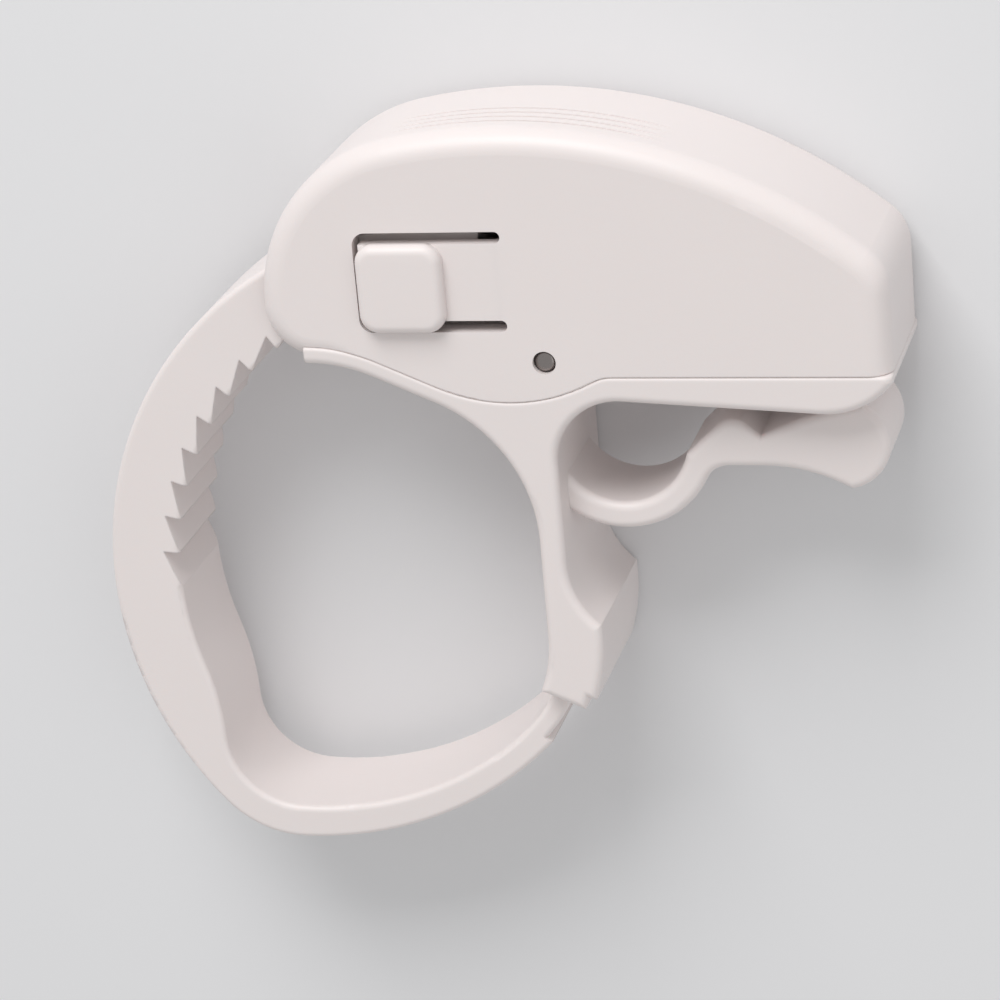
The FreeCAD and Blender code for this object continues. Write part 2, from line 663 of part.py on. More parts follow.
def add_rim_neck_arm(body):
    """The part of the frame that has the clip's full thickness."""
    outline = walk_seam(Outline(*SEAM_START))
    rim_end_x = S.shell_right - S.rim_end_back
    slope = sine(S.rim_tilt) / cosine(S.rim_tilt)
    rim_end = (rim_end_x, -S.rim_drop - slope * (rim_end_x - S.loop_right))
    end_centre = (rim_end[0] + S.rim_end_radius * sine(S.rim_tilt),
                  rim_end[1] + S.rim_end_radius * cosine(S.rim_tilt))
    end_reach = S.shell_right - end_centre[0]
    end_drop = end_centre[1] - root(S.rim_end_radius * S.rim_end_radius - end_reach * end_reach)
    outline.line(S.shell_right, end_drop)
    outline.arc(rim_end, S.rim_end_radius, left=False)
    rim_start_x = S.neck_right + S.neck_fillet + S.neck_fillet * sine(S.rim_tilt)
    rim_start = (rim_start_x, -S.rim_drop - slope * (rim_start_x - S.loop_right))
    outline.line(*rim_start)
    outline.arc((S.neck_right, rim_start[1] - S.neck_fillet * cosine(S.rim_tilt)), S.neck_fillet, left=True)
    outline.line(S.neck_right, -S.waist_drop)
    arm_top = polar(ARM, S.arm_outer, S.arm_top_angle)
    outline.arc(arm_top, S.arm_swell, left=True)
    outline.arc(polar(ARM, S.arm_outer, S.arm_grip_end), S.arm_outer, left=False)
    outline.line(*polar(ARM, S.arm_outer - S.grip_height, S.arm_grip_end))
    outline.arc(polar(ARM, S.arm_outer - S.grip_height, S.arm_end_angle), S.arm_outer - S.grip_height,
                left=False)
    outline.line(*polar(ARM, S.arm_inner, S.arm_end_angle))
    outline.arc((ARM[0] + S.arm_inner, ARM[1]), S.arm_inner, left=True)
    rim_left = polar(SEAM_LEFT, S.seam_left_radius - S.rim_thin, SEAM_TILT)
    corner_x = ARM[0] + S.arm_inner - S.loop_corner
    corner_away = (S.loop_corner + (corner_x - rim_left[0]) * cosine(SEAM_TILT)) / sine(SEAM_TILT)
    corner = (corner_x, rim_left[1] - corner_away)
    outline.line(ARM[0] + S.arm_inner, corner[1])
    outline.arc(polar(corner, S.loop_corner, SEAM_TILT), S.loop_corner, left=True)
    outline.line(*rim_left)
    outline.arc((-S.joint_back, S.joint_rise - S.rim_thin), S.seam_left_radius - S.rim_thin, left=True)
    outline.close()
    pad(body, "FullWidth", draw(new_sketch(body, "RimNeckArm"), outline), S.body_width)

    shape = body.Tip.Shape

    def seam_edge(edge):
        middle = edge.valueAt((edge.FirstParameter + edge.LastParameter) / 2)
        return middle.y > -S.belly_drop.value - SMALL and faces(shape, edge, -1)

    def other_edge(edge):
        on_side = flat_at(edge, 0) or flat_at(edge, S.body_width.value)
        return on_side and not seam_edge(edge) and not upright(edge, S.joint_back)

    fillet(body, "FullWidthRounding", S.frame_round, other_edge)
    shape = body.Tip.Shape

    def top_edge(edge):
        on_side = flat_at(edge, 0) or flat_at(edge, S.body_width.value)
        return on_side and seam_edge(edge) and not upright(edge, S.joint_back)

    fillet(body, "RimRounding", S.rim_edge, top_edge)


def add_strap(body):
    """The narrower strap that goes round the large loop and into the shell."""
    inner_bend = S.bend_radius - S.bottom_thick
    # The inside bends outwards for a short way where the strap gets thicker.
    tip_reach = TIP_RADIUS + S.thickening_radius
    bend_reach = inner_bend + S.thickening_radius
    tip_start = BEND_END - corner(tip_reach, STRAP_TO_BEND, bend_reach)
    bend_start = BEND_END + corner(bend_reach, STRAP_TO_BEND, tip_reach)
    back = S.band_outer - S.grip_height
    outline = Outline(*polar(ARM, back, S.arm_end_angle + S.band_overlap))
    outline.arc(polar(ARM, back, S.strap_grip_start), back, left=False)
    outline.line(*polar(ARM, S.band_outer, S.strap_grip_start))
    outline.arc(polar(ARM, S.band_outer, BAND_END), S.band_outer, left=False)
    outline.arc(polar(BOTTOM, S.bottom_radius, BOTTOM_END), S.bottom_radius, left=False)
    outline.arc(polar(BEND, S.bend_radius, BEND_END), S.bend_radius, left=False)
    outline.arc(polar(STRAP, S.strap_radius, S.strap_end), S.strap_radius, left=False)
    outline.line(*polar(STRAP, TIP_RADIUS, S.strap_end))
    outline.arc(polar(STRAP, TIP_RADIUS, tip_start), TIP_RADIUS, left=True)
    outline.arc(polar(BEND, -inner_bend, bend_start), S.thickening_radius, left=False)
    outline.arc(polar(BEND, inner_bend, BOTTOM_END), inner_bend, left=True)
    outline.arc(polar(ARM, S.band_outer - S.band_thick, BAND_END), S.bottom_radius - S.bottom_thick,
                left=True)
    outline.arc(polar(ARM, S.band_outer - S.band_thick, S.arm_end_angle + S.band_overlap),
                S.band_outer - S.band_thick, left=True)
    outline.close()
    pad(body, "Strap", draw(new_sketch(body, "StrapOutline", HALF_WIDTH), outline), STRAP_WIDTH, middle=True)

    low = HALF_WIDTH - STRAP_WIDTH / 2
    high = HALF_WIDTH + STRAP_WIDTH / 2

    def curved_edge(edge):
        on_side = flat_at(edge, low.value) or flat_at(edge, high.value)
        return on_side and isinstance(edge.Curve, Part.Circle)

    fillet(body, "StrapRounding", S.strap_round, curved_edge)

    first = S.lock_angle - S.tooth_pitch
    centre = (size(0), size(0))
    notch = Outline(*polar(centre, TIP_RADIUS - S.tooth_depth, first))
    notch.line(*polar(centre, ROOT_RADIUS, first))
    notch.line(*polar(centre, TIP_RADIUS, first + S.tooth_pitch))
    notch.line(*polar(centre, TIP_RADIUS - S.tooth_depth, first + S.tooth_pitch))
    notch.close()
    notch_sketch = draw(new_sketch(body, "Notch", HALF_WIDTH, place=STRAP), notch)
    cut = pocket(body, "ToothGap", notch_sketch, STRAP_WIDTH + S.wall, middle=True)
    repeat(body, "Teeth", cut, notch_sketch, S.teeth, S.tooth_pitch * (S.teeth - 1))


def add_finger_lever(body):
    """The band of the small loop, which goes on into the finger lever and its thumb tab."""
    centre = (S.loop_right, -S.loop_drop)
    band = S.loop_radius + S.hook_thick
    mouth = polar(centre, S.loop_radius, S.loop_mouth)
    bump = (S.bump_back, -S.bump_drop)
    mouth_to_bump = distance(bump, mouth)
    bump_start = heading(bump, mouth) - arc_cosine(S.bump_radius / mouth_to_bump)
    bump_end = polar(bump, S.bump_radius, S.bump_end)
    dip_fall = (S.dip_back - bump_end[0]) * cosine(S.bump_end) / sine(S.bump_end)
    tip = (S.tab_reach, -S.tab_middle_drop)
    tab_top = (S.tab_top_back, -S.tab_top_drop)
    tab_low = (S.tab_low_back, -S.tab_low_drop)
    top_radius = arc_through(tip[0] - tab_top[0], tab_top[1] - tip[1])
    low_radius = arc_through(tip[0] - tab_low[0], tip[1] - tab_low[1])
    under_fall = S.tab_low_drop - S.lever_under
    under_run = root(S.tab_under_radius * under_fall * 2 - under_fall * under_fall)
    heel_reach = band + S.heel_radius
    heel_drop = S.lever_under + S.heel_radius
    heel_fall = heel_drop - S.loop_drop
    heel = (S.loop_right + root(heel_reach * heel_reach - heel_fall * heel_fall), -heel_drop)

    outline = Outline(*polar(centre, S.loop_radius, S.loop_start))
    outline.arc(mouth, S.loop_radius, left=True)
    outline.line(*polar(bump, S.bump_radius, bump_start))
    outline.arc(bump_end, S.bump_radius, left=False)
    outline.line(S.dip_back, bump_end[1] - dip_fall)
    outline.arc(tab_top, S.tab_top_radius, left=False)
    outline.arc(tip, top_radius, left=False)
    outline.arc(tab_low, low_radius, left=False)
    outline.arc((tab_low[0] - under_run, -S.lever_under), S.tab_under_radius, left=True)
    outline.line(heel[0], -S.lever_under)
    outline.arc(along(centre, heel, band / heel_reach), S.heel_radius, left=True)
    outline.arc(polar(centre, band, S.band_start), band, left=False)
    outline.close()
    pad(body, "FingerLever", draw(new_sketch(body, "LeverOutline", HALF_WIDTH), outline),
        LEVER_WIDTH, middle=True)
    low = HALF_WIDTH - LEVER_WIDTH / 2
    high = HALF_WIDTH + LEVER_WIDTH / 2

    def lever_edge(edge):
        on_side = flat_at(edge, low.value) or flat_at(edge, high.value)
        return on_side and not upright(edge, -S.neck_right)

    fillet(body, "LeverRounding", S.lever_round, lever_edge)


def add_inside(body):
    """Lugs for the pin, the locating block and the spring's seat, all hidden by the shell."""
    foot = -S.belly_drop - S.lug_foot
    for name, height in (("FarLug", S.wall + S.fit),
                         ("NearLug", S.body_width - S.wall - S.fit - S.lug_thick)):
        lug = Outline(-S.lug_radius, foot)
        lug.line(S.lug_radius, foot)
        lug.line(S.lug_radius, 0)
        lug.arc((0, S.lug_radius), S.lug_radius, left=True)
        lug.arc((-S.lug_radius, 0), S.lug_radius, left=True)
        lug.close()
        pad(body, name, draw(new_sketch(body, name + "Outline", height), lug), S.lug_thick)
    bore = draw_circle(new_sketch(body, "LugCircle", HALF_WIDTH), (0, 0), S.pin_diameter / 2 + S.pin_fit)
    pocket(body, "LugBore", bore, S.body_width, middle=True)

    block_end = S.shell_right - S.wall - S.block_gap
    block = Outline(S.block_start, -S.seam_drop - S.block_foot)
    block.line(block_end, -S.seam_drop - S.block_foot)
    block.line(block_end, S.block_rise - S.seam_drop)
    block.line(S.block_start, S.block_rise - S.seam_drop)
    block.close()
    pad(body, "LocatingBlock", draw(new_sketch(body, "BlockOutline", HALF_WIDTH), block),
        S.body_width - S.wall * 2 - S.fit * 2, middle=True)

    seat = draw_circle(new_sketch(body, "SeatCircle", 0, "XZ_Plane"),
                       (-S.spring_back, HALF_WIDTH), S.seat_diameter / 2)
    pocket(body, "SpringSeat", seat, S.seat_drop, upwards=True)


def make_button():
    """Release button: a tongue in the side wall with a raised pad and a hidden release wedge."""
    body = new_body("release_button")
    left = S.slot_end_gap - S.slot_left
    low = S.slot_low + S.slot_gap
    high = S.slot_high - S.slot_gap
    inner = S.body_width - S.tongue_thick
    tongue = Outline(-S.button_root, low)
    tongue.line(-S.button_root, high)
    tongue.line(left, high)
    tongue.line(left, low)
    tongue.close()
    pad(body, "Tongue", draw(new_sketch(body, "TongueOutline", inner), tongue), S.tongue_thick)

    pad_left = left - S.pad_overhang
    pad_right = pad_left + S.pad_length
    pad_low = low - S.pad_low_overhang
    pad_high = high + S.pad_overhang
    raised = Outline(pad_left + S.pad_corner, pad_low)
    raised.line(pad_right - S.pad_corner, pad_low)
    raised.arc((pad_right, pad_low + S.pad_corner), S.pad_corner, left=True)
    raised.line(pad_right, pad_high - S.pad_corner)
    raised.arc((pad_right - S.pad_corner, pad_high), S.pad_corner, left=True)
    raised.line(pad_left + S.pad_corner, pad_high)
    raised.arc((pad_left, pad_high - S.pad_corner), S.pad_corner, left=True)
    raised.line(pad_left, pad_low + S.pad_corner)
    raised.close((S.pad_corner, True, False))
    pad(body, "RaisedPad", draw(new_sketch(body, "PadOutline", S.body_width), raised), S.pad_height)
    top = S.body_width + S.pad_height
    fillet(body, "PadRounding", S.pad_round, lambda edge: flat_at(edge, top.value))

    # The sloping face is parallel to the pawl's sloped side and keeps its play.
    side = HALF_WIDTH + PAWL_WIDTH / 2
    slant = root(S.wedge_face * S.wedge_face + S.wedge_face_drop * S.wedge_face_drop)
    foot = side + (S.pawl_top - S.wedge_face_drop) * S.wedge_face / S.wedge_face_drop
    foot = foot + S.wedge_gap * slant / S.wedge_face_drop
    wedge_step = S.body_width - S.wall - S.wedge_clear
    wedge = Outline(low + S.wedge_root, inner)
    wedge.line(low + S.wedge_root, wedge_step)
    wedge.line(S.wedge_low, wedge_step)
    wedge.line(S.wedge_low, foot - S.wedge_low * S.wedge_face / S.wedge_face_drop)
    wedge.line(S.wedge_high, foot - S.wedge_high * S.wedge_face / S.wedge_face_drop)
    wedge.line(S.wedge_high, inner)
    wedge.close()
    wedge_sketch = draw(new_sketch(body, "WedgeOutline", -S.wedge_start, "YZ_Plane"), wedge)
    pad(body, "ReleaseWedge", wedge_sketch, S.wedge_length)
    return body


def make_pawl():
    """Pawl: turns on the pin and holds the strap's teeth with its nose."""
    body = new_body("pawl")
    centre = (size(0), size(0))
    nose_angle = S.lock_angle + S.nose_play
    nose_tip = polar(STRAP, ROOT_RADIUS - S.nose_gap, nose_angle)
    nose_left = polar(STRAP, TIP_RADIUS - S.nose_side_gap, S.lock_angle + S.tooth_pitch)
    nose_foot = STRAP[0] + (S.pawl_top - STRAP[1]) * cosine(nose_angle) / sine(nose_angle)
    outline = Outline(*nose_left)
    outline.line(*nose_tip)
    outline.line(nose_foot, S.pawl_top)
    outline.line(-S.pawl_top_end, S.pawl_top)
    outline.line(*polar(centre, S.hub_radius, S.hub_top))
    outline.arc(polar(centre, S.hub_radius, S.hub_foot), S.hub_radius, left=False, large=True)
    outline.line(-S.pawl_low_right, S.pawl_low)
    outline.line(-S.pawl_low_left, S.pawl_low)
    outline.line(-S.arm_left, S.arm_left_rise)
    outline.close()
    pad(body, "PawlPlate", draw(new_sketch(body, "PawlOutline", HALF_WIDTH), outline),
        PAWL_WIDTH, middle=True)

    bore = draw_circle(new_sketch(body, "PawlCircle", HALF_WIDTH), (0, 0), S.pin_diameter / 2 + S.pawl_fit)
    pocket(body, "PawlBore", bore, S.body_width, middle=True)

    side = HALF_WIDTH + PAWL_WIDTH / 2
    slope = Outline(S.pawl_top, side - S.wedge_face)
    slope.line(S.pawl_top, side)
    slope.line(S.pawl_top - S.wedge_face_drop, side)
    slope.close()
    slope_sketch = draw(new_sketch(body, "SlopeOutline", -S.wedge_face_start, "YZ_Plane"), slope)
    pocket(body, "SlopedSide", slope_sketch, S.wedge_face_start - S.wedge_face_end, upwards=True)

    peg = draw_circle(new_sketch(body, "PegCircle", -S.pawl_low, "XZ_Plane"),
                      (-S.spring_back, HALF_WIDTH), S.peg_diameter / 2)
    pad(body, "Peg", peg, S.peg_length)
    return body


def make_pin():
    """Steel pin through the walls, the lugs and the pawl."""
    body = new_body("pivot_pin")
    circle = draw_circle(new_sketch(body, "PinEnd", S.pin_recess), (0, 0), S.pin_diameter / 2)
    pad(body, "PinBar", circle, S.body_width - S.pin_recess * 2)
    base = body.Tip
    chamfer = body.newObject("PartDesign::Chamfer", "PinChamfer")
    chamfer.Base = (base, edges_where(base.Shape, lambda edge: edge.BoundBox.ZLength < 1e-6))
    chamfer.Size = S.pin_chamfer.value
    chamfer.setExpression("Size", S.pin_chamfer.text)
    doc.recompute()
    return body


def make_spring():
    """Coil spring between the frame and the pawl."""
    body = new_body("pawl_spring")
    wire = S.spring_wire / 2
    sketch = new_sketch(body, "WireCircle", HALF_WIDTH, place=(-S.spring_back, -S.seat_drop))
    draw_circle(sketch, (S.spring_diameter / 2 - wire, wire), wire)
    coil = body.newObject("PartDesign::AdditiveHelix", "Coil")
    coil.Profile = sketch
    coil.ReferenceAxis = (sketch, ["V_Axis"])
    coil.Mode = "height-turns-angle"
    height = S.seat_drop + S.pawl_low - S.spring_wire
    coil.Height = height.value
    coil.setExpression("Height", height.text)
    coil.Turns = S.spring_coils.value
    coil.setExpression("Turns", S.spring_coils.text)
    doc.recompute()
    return body


def check(body):
    """Stop where a feature failed or a solid is not sound."""
    for thing in doc.Objects:
        if "Invalid" in thing.State or "Error" in thing.State:
            raise ValueError(f"{thing.Name} failed: {thing.State}")
    if body.Shape.isNull() or not body.Shape.isValid():
        raise ValueError(f"{body.Label} is not a sound solid")


def centre_on_footprint(body):
    """Move a body so that the origin is under the middle of the lying clip."""
    left = STRAP[0] - S.strap_radius
    low = BOTTOM[1] - S.bottom_radius
    body.setExpression("Placement.Base.x", (-(left + S.shell_right) / 2).text)
    body.setExpression("Placement.Base.y", (-(low + S.crown_height) / 2).text)


pieces = [make_shell(), make_frame(), make_button(), make_pawl(), make_pin(), make_spring()]
for piece in pieces:
    centre_on_footprint(piece)
doc.recompute()
os.makedirs("parts", exist_ok=True)
for piece in pieces:
    check(piece)
for piece in pieces:
    box = piece.Shape.optimalBoundingBox(True, False)
    print(piece.Label, round(piece.Shape.Volume, 2), len(piece.Shape.Solids), box)
    piece.Shape.exportStep(f"parts/{piece.Label}.step")
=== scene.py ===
"""Cable clip: visual model of the white plastic clip, its release button and its steel pin."""

import json
import math

import bmesh
import bpy
from bpy.props import FloatProperty, FloatVectorProperty, IntProperty, PointerProperty
from mathutils import Matrix, Vector

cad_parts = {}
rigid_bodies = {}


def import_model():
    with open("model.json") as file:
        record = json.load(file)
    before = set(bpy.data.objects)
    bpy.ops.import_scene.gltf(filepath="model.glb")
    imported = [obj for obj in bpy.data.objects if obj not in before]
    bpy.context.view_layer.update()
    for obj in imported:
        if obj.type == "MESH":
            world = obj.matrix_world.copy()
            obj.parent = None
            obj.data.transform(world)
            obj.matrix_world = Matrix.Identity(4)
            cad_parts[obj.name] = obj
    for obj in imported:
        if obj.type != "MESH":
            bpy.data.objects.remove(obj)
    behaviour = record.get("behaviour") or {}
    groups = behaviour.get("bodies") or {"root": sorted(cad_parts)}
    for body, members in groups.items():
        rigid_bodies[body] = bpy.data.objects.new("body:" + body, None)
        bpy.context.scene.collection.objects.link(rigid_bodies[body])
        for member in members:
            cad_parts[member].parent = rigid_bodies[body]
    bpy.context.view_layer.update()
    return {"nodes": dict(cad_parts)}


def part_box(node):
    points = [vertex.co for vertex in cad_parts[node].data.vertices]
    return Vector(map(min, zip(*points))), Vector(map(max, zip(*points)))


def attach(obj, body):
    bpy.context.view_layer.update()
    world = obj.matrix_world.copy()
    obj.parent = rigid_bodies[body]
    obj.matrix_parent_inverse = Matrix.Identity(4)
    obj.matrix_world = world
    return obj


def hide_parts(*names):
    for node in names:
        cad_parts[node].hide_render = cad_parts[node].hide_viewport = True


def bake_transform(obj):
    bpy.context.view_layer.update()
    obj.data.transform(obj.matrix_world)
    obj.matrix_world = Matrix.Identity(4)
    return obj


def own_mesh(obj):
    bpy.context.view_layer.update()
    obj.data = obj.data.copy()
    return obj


bl_info = {
    "name": "Cable Clip",
    "version": (1, 0, 0),
    "blender": (4, 5, 0),
    "location": "View3D > Sidebar > Cable Clip",
    "description": "Builds the finished look of a white plastic cable clip",
    "category": "Object",
}

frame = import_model()

button_low, button_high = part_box("release_button")
pin_low, pin_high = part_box("pivot_pin")

# Lengths are in metres and angles in degrees, where nothing else is said

# Meshes: points this near are one, and edges sharper than a crease stay sharp
SAME_PLACE = 0.0000002
BUTTON_CREASE = 25.0
SPRING_CREASE = 40.0

# Moulded plastic: a cloud in its shade and gloss, a grain in its surface. Scales are per metre
CLOUD_SCALE = 160.0
CLOUD_DETAIL = 3.0
CLOUD_SHARE = 0.5
CLOUD_SHADE = 0.97
CLOUD_GLOSS = 0.08
GRAIN_SCALE = 2600.0
GRAIN_DETAIL = 2.0
GRAIN_STRENGTH = 0.10
GRAIN_HEIGHT = 0.00004
SOFT_EDGE_RADIUS = 0.00015
SOFT_EDGE_SAMPLES = 6
PLASTIC_IOR = 1.49
PLASTIC_SPECULAR = 0.5
PLASTIC_SCATTER = 0.06
SCATTER_REACH = (0.0008, 0.0006, 0.0005)

# Steel: streaks in its gloss, and a pin whose flat end falls away towards its edge
STREAK_SCALE = 3000.0
STREAK_DETAIL = 4.0
STREAK_GLOSS = 0.2
STEEL_ROUGHNESS = 0.16
PIN_END_DROP = 0.00016
PIN_END_POWER = 4.0

# Floor and lamps
FLOOR_GAP = 0.00002
FLOOR_HALF = 3.0
FLOOR_ROUGHNESS = 0.9
FLOOR_SPECULAR = 0.1
SKY_COLOR = (1.0, 1.0, 1.0, 1.0)
KEY_PLACE = (-0.083, 0.462, 0.286)
KEY_SIZE = 0.30
FILL_PLACE = (0.34, -0.06, 0.36)
FILL_SIZE = 0.35

# Camera: where it stands, what it looks at, which way is up in the picture, and the width of
# its sensor in millimetres
CAMERA_EYE = Vector((0.04994, 0.07009, 0.18766))
CAMERA_TARGET = Vector((-0.0005, -0.0015, 0.005))
CAMERA_UP = Vector((-0.02677, 0.89933, -0.43645))
SENSOR_WIDTH = 36.0
CAMERA_NEAR = 0.01


class ClipSettings(bpy.types.PropertyGroup):
    """Colours of the clip's plastic and steel; the steel's colour is darkened by a painted dark
    reflection.
    """

    plastic_color: FloatVectorProperty(
        name="Plastic colour", description="Colour of the moulded plastic", subtype="COLOR",
        size=3, min=0.0, max=1.0, default=(0.83, 0.765, 0.75))
    plastic_roughness: FloatProperty(
        name="Plastic roughness", description="Roughness of the moulded plastic",
        subtype="FACTOR", min=0.0, max=1.0, default=0.42)
    # Darker than bright steel: a painted dark reflection, which the pin and the spring both take
    steel_color_with_painted_reflection: FloatVectorProperty(
        name="Steel colour", description="Colour of the pin and the spring", subtype="COLOR",
        size=3, min=0.0, max=1.0, default=(0.32, 0.29, 0.28))


class MotionSettings(bpy.types.PropertyGroup):
    """How the bending pieces give way."""

    tongue_bend: FloatProperty(
        name="Bending stretch", description="Length of the tongue that bends, from its root",
        subtype="DISTANCE", unit="LENGTH", min=0.0005, default=0.0026)
    tongue_steps: IntProperty(
        name="Steps", description="Cuts across the bending stretch", min=2, default=12)
    spring_keep: FloatProperty(
        name="Pressed spring",
        description="Share of the spring's length that is left when it is pressed",
        subtype="FACTOR", min=0.1, max=1.0, default=0.81)


class StageSettings(bpy.types.PropertyGroup):
    """Floor, lamps and camera."""

    floor_color: FloatVectorProperty(
        name="Floor colour", description="Colour of the floor", subtype="COLOR",
        size=3, min=0.0, max=1.0, default=(0.78, 0.78, 0.79))
    key_power: FloatProperty(
        name="Key lamp", description="Power of the key lamp", subtype="POWER", unit="POWER",
        min=0.0, default=1.85)
    fill_power: FloatProperty(
        name="Fill lamp", description="Power of the fill lamp", subtype="POWER", unit="POWER",
        min=0.0, default=0.2)
    sky_strength: FloatProperty(
        name="Sky", description="Strength of the even light from all round",
        min=0.0, default=0.56)
    focal_length: FloatProperty(
        name="Focal length", description="Focal length of the camera",
        subtype="DISTANCE_CAMERA", min=1.0, default=135.0)


class Link:
    """A shader socket that takes part in sums like a number."""

    def __init__(self, tree, socket):
        self.tree = tree
        self.socket = socket

    def __add__(self, other):
        return self.combined("ADD", other)

    def __mul__(self, other):
        return self.combined("MULTIPLY", other)

    def __pow__(self, other):
        return self.combined("POWER", other)

    def combined(self, operation, other):
        """The socket of a new node that works on this socket and the other value."""
        maker = Maker(self.tree)
        return maker.node("ShaderNodeMath", {"operation": operation}, {0: self, 1: other})


class Maker:
    """Adds nodes to a material's tree."""

    def __init__(self, tree):
        self.tree = tree

    def node(self, kind, settings=None, sockets=None, output=0):
        """A new node with its settings and inputs, as a link from one of its outputs."""
        node = self.tree.nodes.new(kind)
        for name, value in (settings or {}).items():
            setattr(node, name, value)
        for name, value in (sockets or {}).items():
            if isinstance(value, Link):
                self.tree.links.new(value.socket, node.inputs[name])
            else:
                node.inputs[name].default_value = value
        return Link(self.tree, node.outputs[output])

    def place(self):
        """The place in the object, in metres."""
        return self.node("ShaderNodeTexCoord", output="Object")

    def noise(self, place, scale, detail):
        """Noise between 0 and 1."""
        sockets = {"Vector": place, "Scale": scale, "Detail": detail}
        return self.node("ShaderNodeTexNoise", {}, sockets)

    def surface(self, sockets):
        """Send a principled shader to the material's output."""
        shader = self.node("ShaderNodeBsdfPrincipled", {}, sockets)
        output = self.tree.nodes.new("ShaderNodeOutputMaterial")
        self.tree.links.new(shader.socket, output.inputs["Surface"])


def new_material(name):
    """A material with an empty tree, and its maker."""
    material = bpy.data.materials.new(name)
    material.use_nodes = True
    material.node_tree.nodes.clear()
    return material, Maker(material.node_tree)


def moulded_plastic(name, color, roughness, edge_radius=None):
    """White plastic: cloudiness, fine texture, uneven gloss, and soft edges if given a radius."""
    material, maker = new_material(name)
    place = maker.place()
    cloud = maker.noise(place, CLOUD_SCALE, CLOUD_DETAIL)
    shade = maker.node(
        "ShaderNodeMix", {"data_type": "RGBA"},
        {"Factor": cloud * CLOUD_SHARE,
         "A": (*[part * CLOUD_SHADE for part in color], 1.0),
         "B": (*color, 1.0)},
        output="Result")
    grain = maker.noise(place, GRAIN_SCALE, GRAIN_DETAIL)
    relief = {"Height": grain, "Strength": GRAIN_STRENGTH, "Distance": GRAIN_HEIGHT}
    if edge_radius:
        relief["Normal"] = maker.node(
            "ShaderNodeBevel", {"samples": SOFT_EDGE_SAMPLES}, {"Radius": edge_radius})
    bump = maker.node("ShaderNodeBump", {}, relief)
    maker.surface({
        "Base Color": shade,
        "Roughness": cloud * CLOUD_GLOSS + (roughness - CLOUD_GLOSS / 2),
        "Normal": bump,
        "IOR": PLASTIC_IOR,
        "Specular IOR Level": PLASTIC_SPECULAR,
        "Subsurface Weight": PLASTIC_SCATTER,
        "Subsurface Radius": SCATTER_REACH,
        "Subsurface Scale": 1.0,
    })
    return material


def rounded_end(maker, place, centre, radius):
    """A surface direction that rounds the edge of a pin's flat end."""
    flat = maker.node(
        "ShaderNodeVectorMath", {"operation": "MULTIPLY"}, {0: place, 1: (1.0, 1.0, 0.0)})
    reach = maker.node(
        "ShaderNodeVectorMath", {"operation": "DISTANCE"},
        {0: flat, 1: (centre.x, centre.y, 0.0)}, output="Value")
    fall = (reach * (1.0 / radius)) ** PIN_END_POWER
    return maker.node(
        "ShaderNodeBump", {}, {"Height": fall * -PIN_END_DROP, "Strength": 1.0, "Distance": 1.0})


def bright_steel(name, color, centre=None, radius=None):
    """Drawn steel: fine uneven brightness, and a rounded end where a centre is given."""
    material, maker = new_material(name)
    place = maker.place()
    streak = maker.noise(place, STREAK_SCALE, STREAK_DETAIL)
    sockets = {
        "Base Color": (*color, 1.0),
        "Metallic": 1.0,
        "Roughness": streak * STREAK_GLOSS + STEEL_ROUGHNESS,
    }
    if centre:
        sockets["Normal"] = rounded_end(maker, place, centre, radius)
    maker.surface(sockets)
    return material


def use_material(thing, material):
    """Make this the object's only material."""
    thing.data.materials.clear()
    thing.data.materials.append(material)


def joined_copy(node):
    """A bmesh with a node's surface, its loose triangles joined."""
    shape = bmesh.new()
    shape.from_mesh(frame["nodes"][node].data)
    bmesh.ops.remove_doubles(shape, verts=shape.verts, dist=SAME_PLACE)
    return shape


def linked_object(name, data):
    """An object in the scene."""
    thing = bpy.data.objects.new(name, data)
    bpy.context.scene.collection.objects.link(thing)
    return thing


def object_from(shape, name):
    """An object from a bmesh, which is freed."""
    mesh = bpy.data.meshes.new(name)
    shape.to_mesh(mesh)
    shape.free()
    return linked_object(name, mesh)


def finished_piece(shape, name, crease):
    """An object from a bmesh, smooth apart from edges sharper than the crease."""
    piece = object_from(shape, name)
    piece.data.shade_smooth()
    piece.data.set_sharp_from_angle(angle=math.radians(crease))
    return piece


class CLIP_OT_plastic(bpy.types.Operator):
    """Give the moulded pieces their white plastic"""

    bl_idname = "clip.plastic"
    bl_label = "Moulded pieces"

    def execute(self, context):
        settings = context.scene.clip
        look = (tuple(settings.plastic_color), settings.plastic_roughness)
        use_material(frame["nodes"]["shell"], moulded_plastic("moulded_plastic", *look))
        soft_plastic = moulded_plastic("soft_edged_plastic", *look, SOFT_EDGE_RADIUS)
        for name in ("frame", "pawl"):
            use_material(frame["nodes"][name], soft_plastic)
        return {"FINISHED"}


class CLIP_OT_button(bpy.types.Operator):
    """Make the release button, its tongue cut across where it leaves the shell"""

    bl_idname = "clip.button"
    bl_label = "Release button"

    def execute(self, context):
        settings = context.scene.clip_motion
        root = Vector((button_high.x, button_low.y, button_high.z))
        shape = joined_copy("release_button")
        step = settings.tongue_bend / settings.tongue_steps
        for number in range(1, settings.tongue_steps + 1):
            parts = shape.verts[:] + shape.edges[:] + shape.faces[:]
            bmesh.ops.bisect_plane(
                shape, geom=parts, plane_co=root - Vector((step * number, 0.0, 0.0)),
                plane_no=(1.0, 0.0, 0.0), dist=SAME_PLACE)
        piece = finished_piece(shape, "button_tongue", BUTTON_CREASE)
        use_material(piece, bpy.data.materials["moulded_plastic"])
        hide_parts("release_button")
        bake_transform(piece)
        return {"FINISHED"}


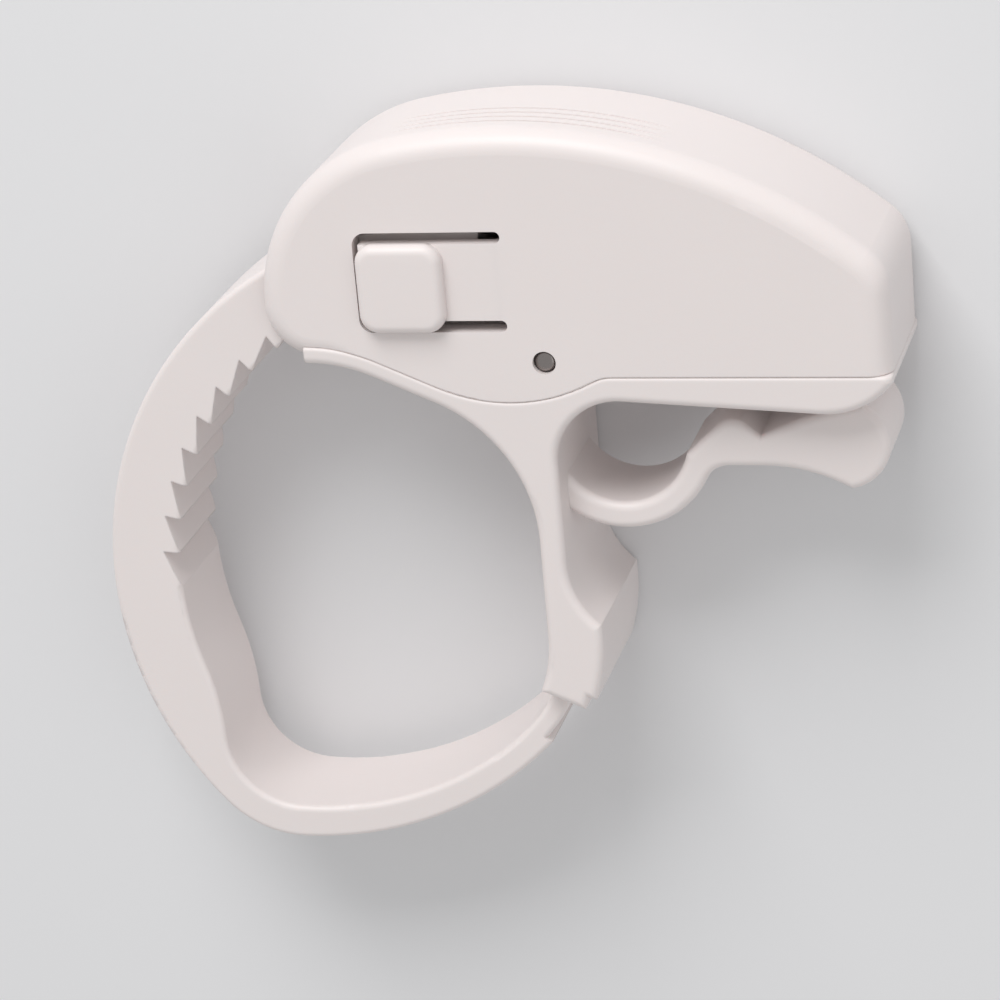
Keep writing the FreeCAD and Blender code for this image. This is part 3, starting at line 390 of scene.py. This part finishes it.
class CLIP_OT_steel(bpy.types.Operator):
    """Give the pin its steel and make the spring, which rides with the housing"""

    bl_idname = "clip.steel"
    bl_label = "Pin and spring"

    def execute(self, context):
        # The steel colour carries a painted dark reflection, for the pin and the spring
        color = tuple(context.scene.clip.steel_color_with_painted_reflection)
        pin_steel = bright_steel(
            "pin_steel", color, (pin_low + pin_high) / 2, (pin_high.x - pin_low.x) / 2)
        use_material(frame["nodes"]["pivot_pin"], pin_steel)
        piece = finished_piece(joined_copy("pawl_spring"), "coil_spring", SPRING_CREASE)
        use_material(piece, bright_steel("spring_steel", color))
        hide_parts("pawl_spring")
        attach(piece, "housing")
        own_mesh(piece)
        return {"FINISHED"}


class CLIP_OT_stage(bpy.types.Operator):
    """Make the floor, the lamps and the camera"""

    bl_idname = "clip.stage"
    bl_label = "Stage"

    def execute(self, context):
        settings = context.scene.clip_stage
        scene = context.scene
        scene.view_settings.view_transform = "Standard"
        self.floor((*settings.floor_color, 1.0))
        self.sky(scene, settings.sky_strength)
        self.lamp("key", KEY_PLACE, KEY_SIZE, settings.key_power)
        self.lamp("fill", FILL_PLACE, FILL_SIZE, settings.fill_power)
        self.camera(scene, settings.focal_length)
        return {"FINISHED"}

    @staticmethod
    def floor(color):
        """A plain floor just below the clip."""
        shape = bmesh.new()
        bmesh.ops.create_grid(shape, x_segments=1, y_segments=1, size=FLOOR_HALF)
        bmesh.ops.translate(shape, verts=shape.verts, vec=(0.0, 0.0, -FLOOR_GAP))
        floor = object_from(shape, "floor")
        material, maker = new_material("floor")
        maker.surface({
            "Base Color": color,
            "Roughness": FLOOR_ROUGHNESS,
            "Specular IOR Level": FLOOR_SPECULAR,
        })
        use_material(floor, material)

    @staticmethod
    def sky(scene, strength):
        """Even white light from all round."""
        world = bpy.data.worlds.new("studio")
        scene.world = world
        world.use_nodes = True
        sky = world.node_tree.nodes["Background"]
        sky.inputs["Color"].default_value = SKY_COLOR
        sky.inputs["Strength"].default_value = strength

    @staticmethod
    def lamp(name, place, size, power):
        """A square soft lamp that points at the clip."""
        light = bpy.data.lights.new(name, "AREA")
        light.size = size
        light.energy = power
        holder = linked_object(name, light)
        holder.location = place
        holder.rotation_euler = (-Vector(place)).to_track_quat("-Z", "Y").to_euler()

    @staticmethod
    def camera(scene, focal_length):
        """The camera, which looks down on the clip."""
        camera = bpy.data.cameras.new("camera")
        camera.lens = focal_length
        camera.sensor_width = SENSOR_WIDTH
        camera.clip_start = CAMERA_NEAR
        holder = linked_object("camera", camera)
        back = (CAMERA_EYE - CAMERA_TARGET).normalized()
        right = CAMERA_UP.cross(back).normalized()
        turn = Matrix((right, back.cross(right), back)).transposed()
        holder.matrix_world = Matrix.Translation(CAMERA_EYE) @ turn.to_4x4()
        scene.camera = holder


class CLIP_PT_panel(bpy.types.Panel):
    """Cable clip in the 3D view's sidebar"""

    bl_label = "Cable Clip"
    bl_idname = "CLIP_PT_panel"
    bl_space_type = "VIEW_3D"
    bl_region_type = "UI"
    bl_category = "Cable Clip"

    def draw(self, context):
        layout = self.layout
        scene = context.scene
        for group in (scene.clip, scene.clip_motion, scene.clip_stage):
            for name in group.__annotations__:
                layout.prop(group, name)
        for step in STEPS:
            layout.operator(step.bl_idname)


STEPS = (CLIP_OT_plastic, CLIP_OT_button, CLIP_OT_steel, CLIP_OT_stage)
CLASSES = (ClipSettings, MotionSettings, StageSettings) + STEPS + (CLIP_PT_panel,)


def register():
    for cls in CLASSES:
        bpy.utils.register_class(cls)
    bpy.types.Scene.clip = PointerProperty(type=ClipSettings)
    bpy.types.Scene.clip_motion = PointerProperty(type=MotionSettings)
    bpy.types.Scene.clip_stage = PointerProperty(type=StageSettings)


def unregister():
    del bpy.types.Scene.clip_stage
    del bpy.types.Scene.clip_motion
    del bpy.types.Scene.clip
    for cls in reversed(CLASSES):
        bpy.utils.unregister_class(cls)


def main():
    register()
    for thing in list(bpy.data.objects):
        if thing.type in ("LIGHT", "CAMERA") or thing.name == "Cube":
            bpy.data.objects.remove(thing)
    bpy.ops.clip.plastic()
    bpy.ops.clip.button()
    bpy.ops.clip.steel()
    bpy.ops.clip.stage()


if __name__ == "__main__":
    main()
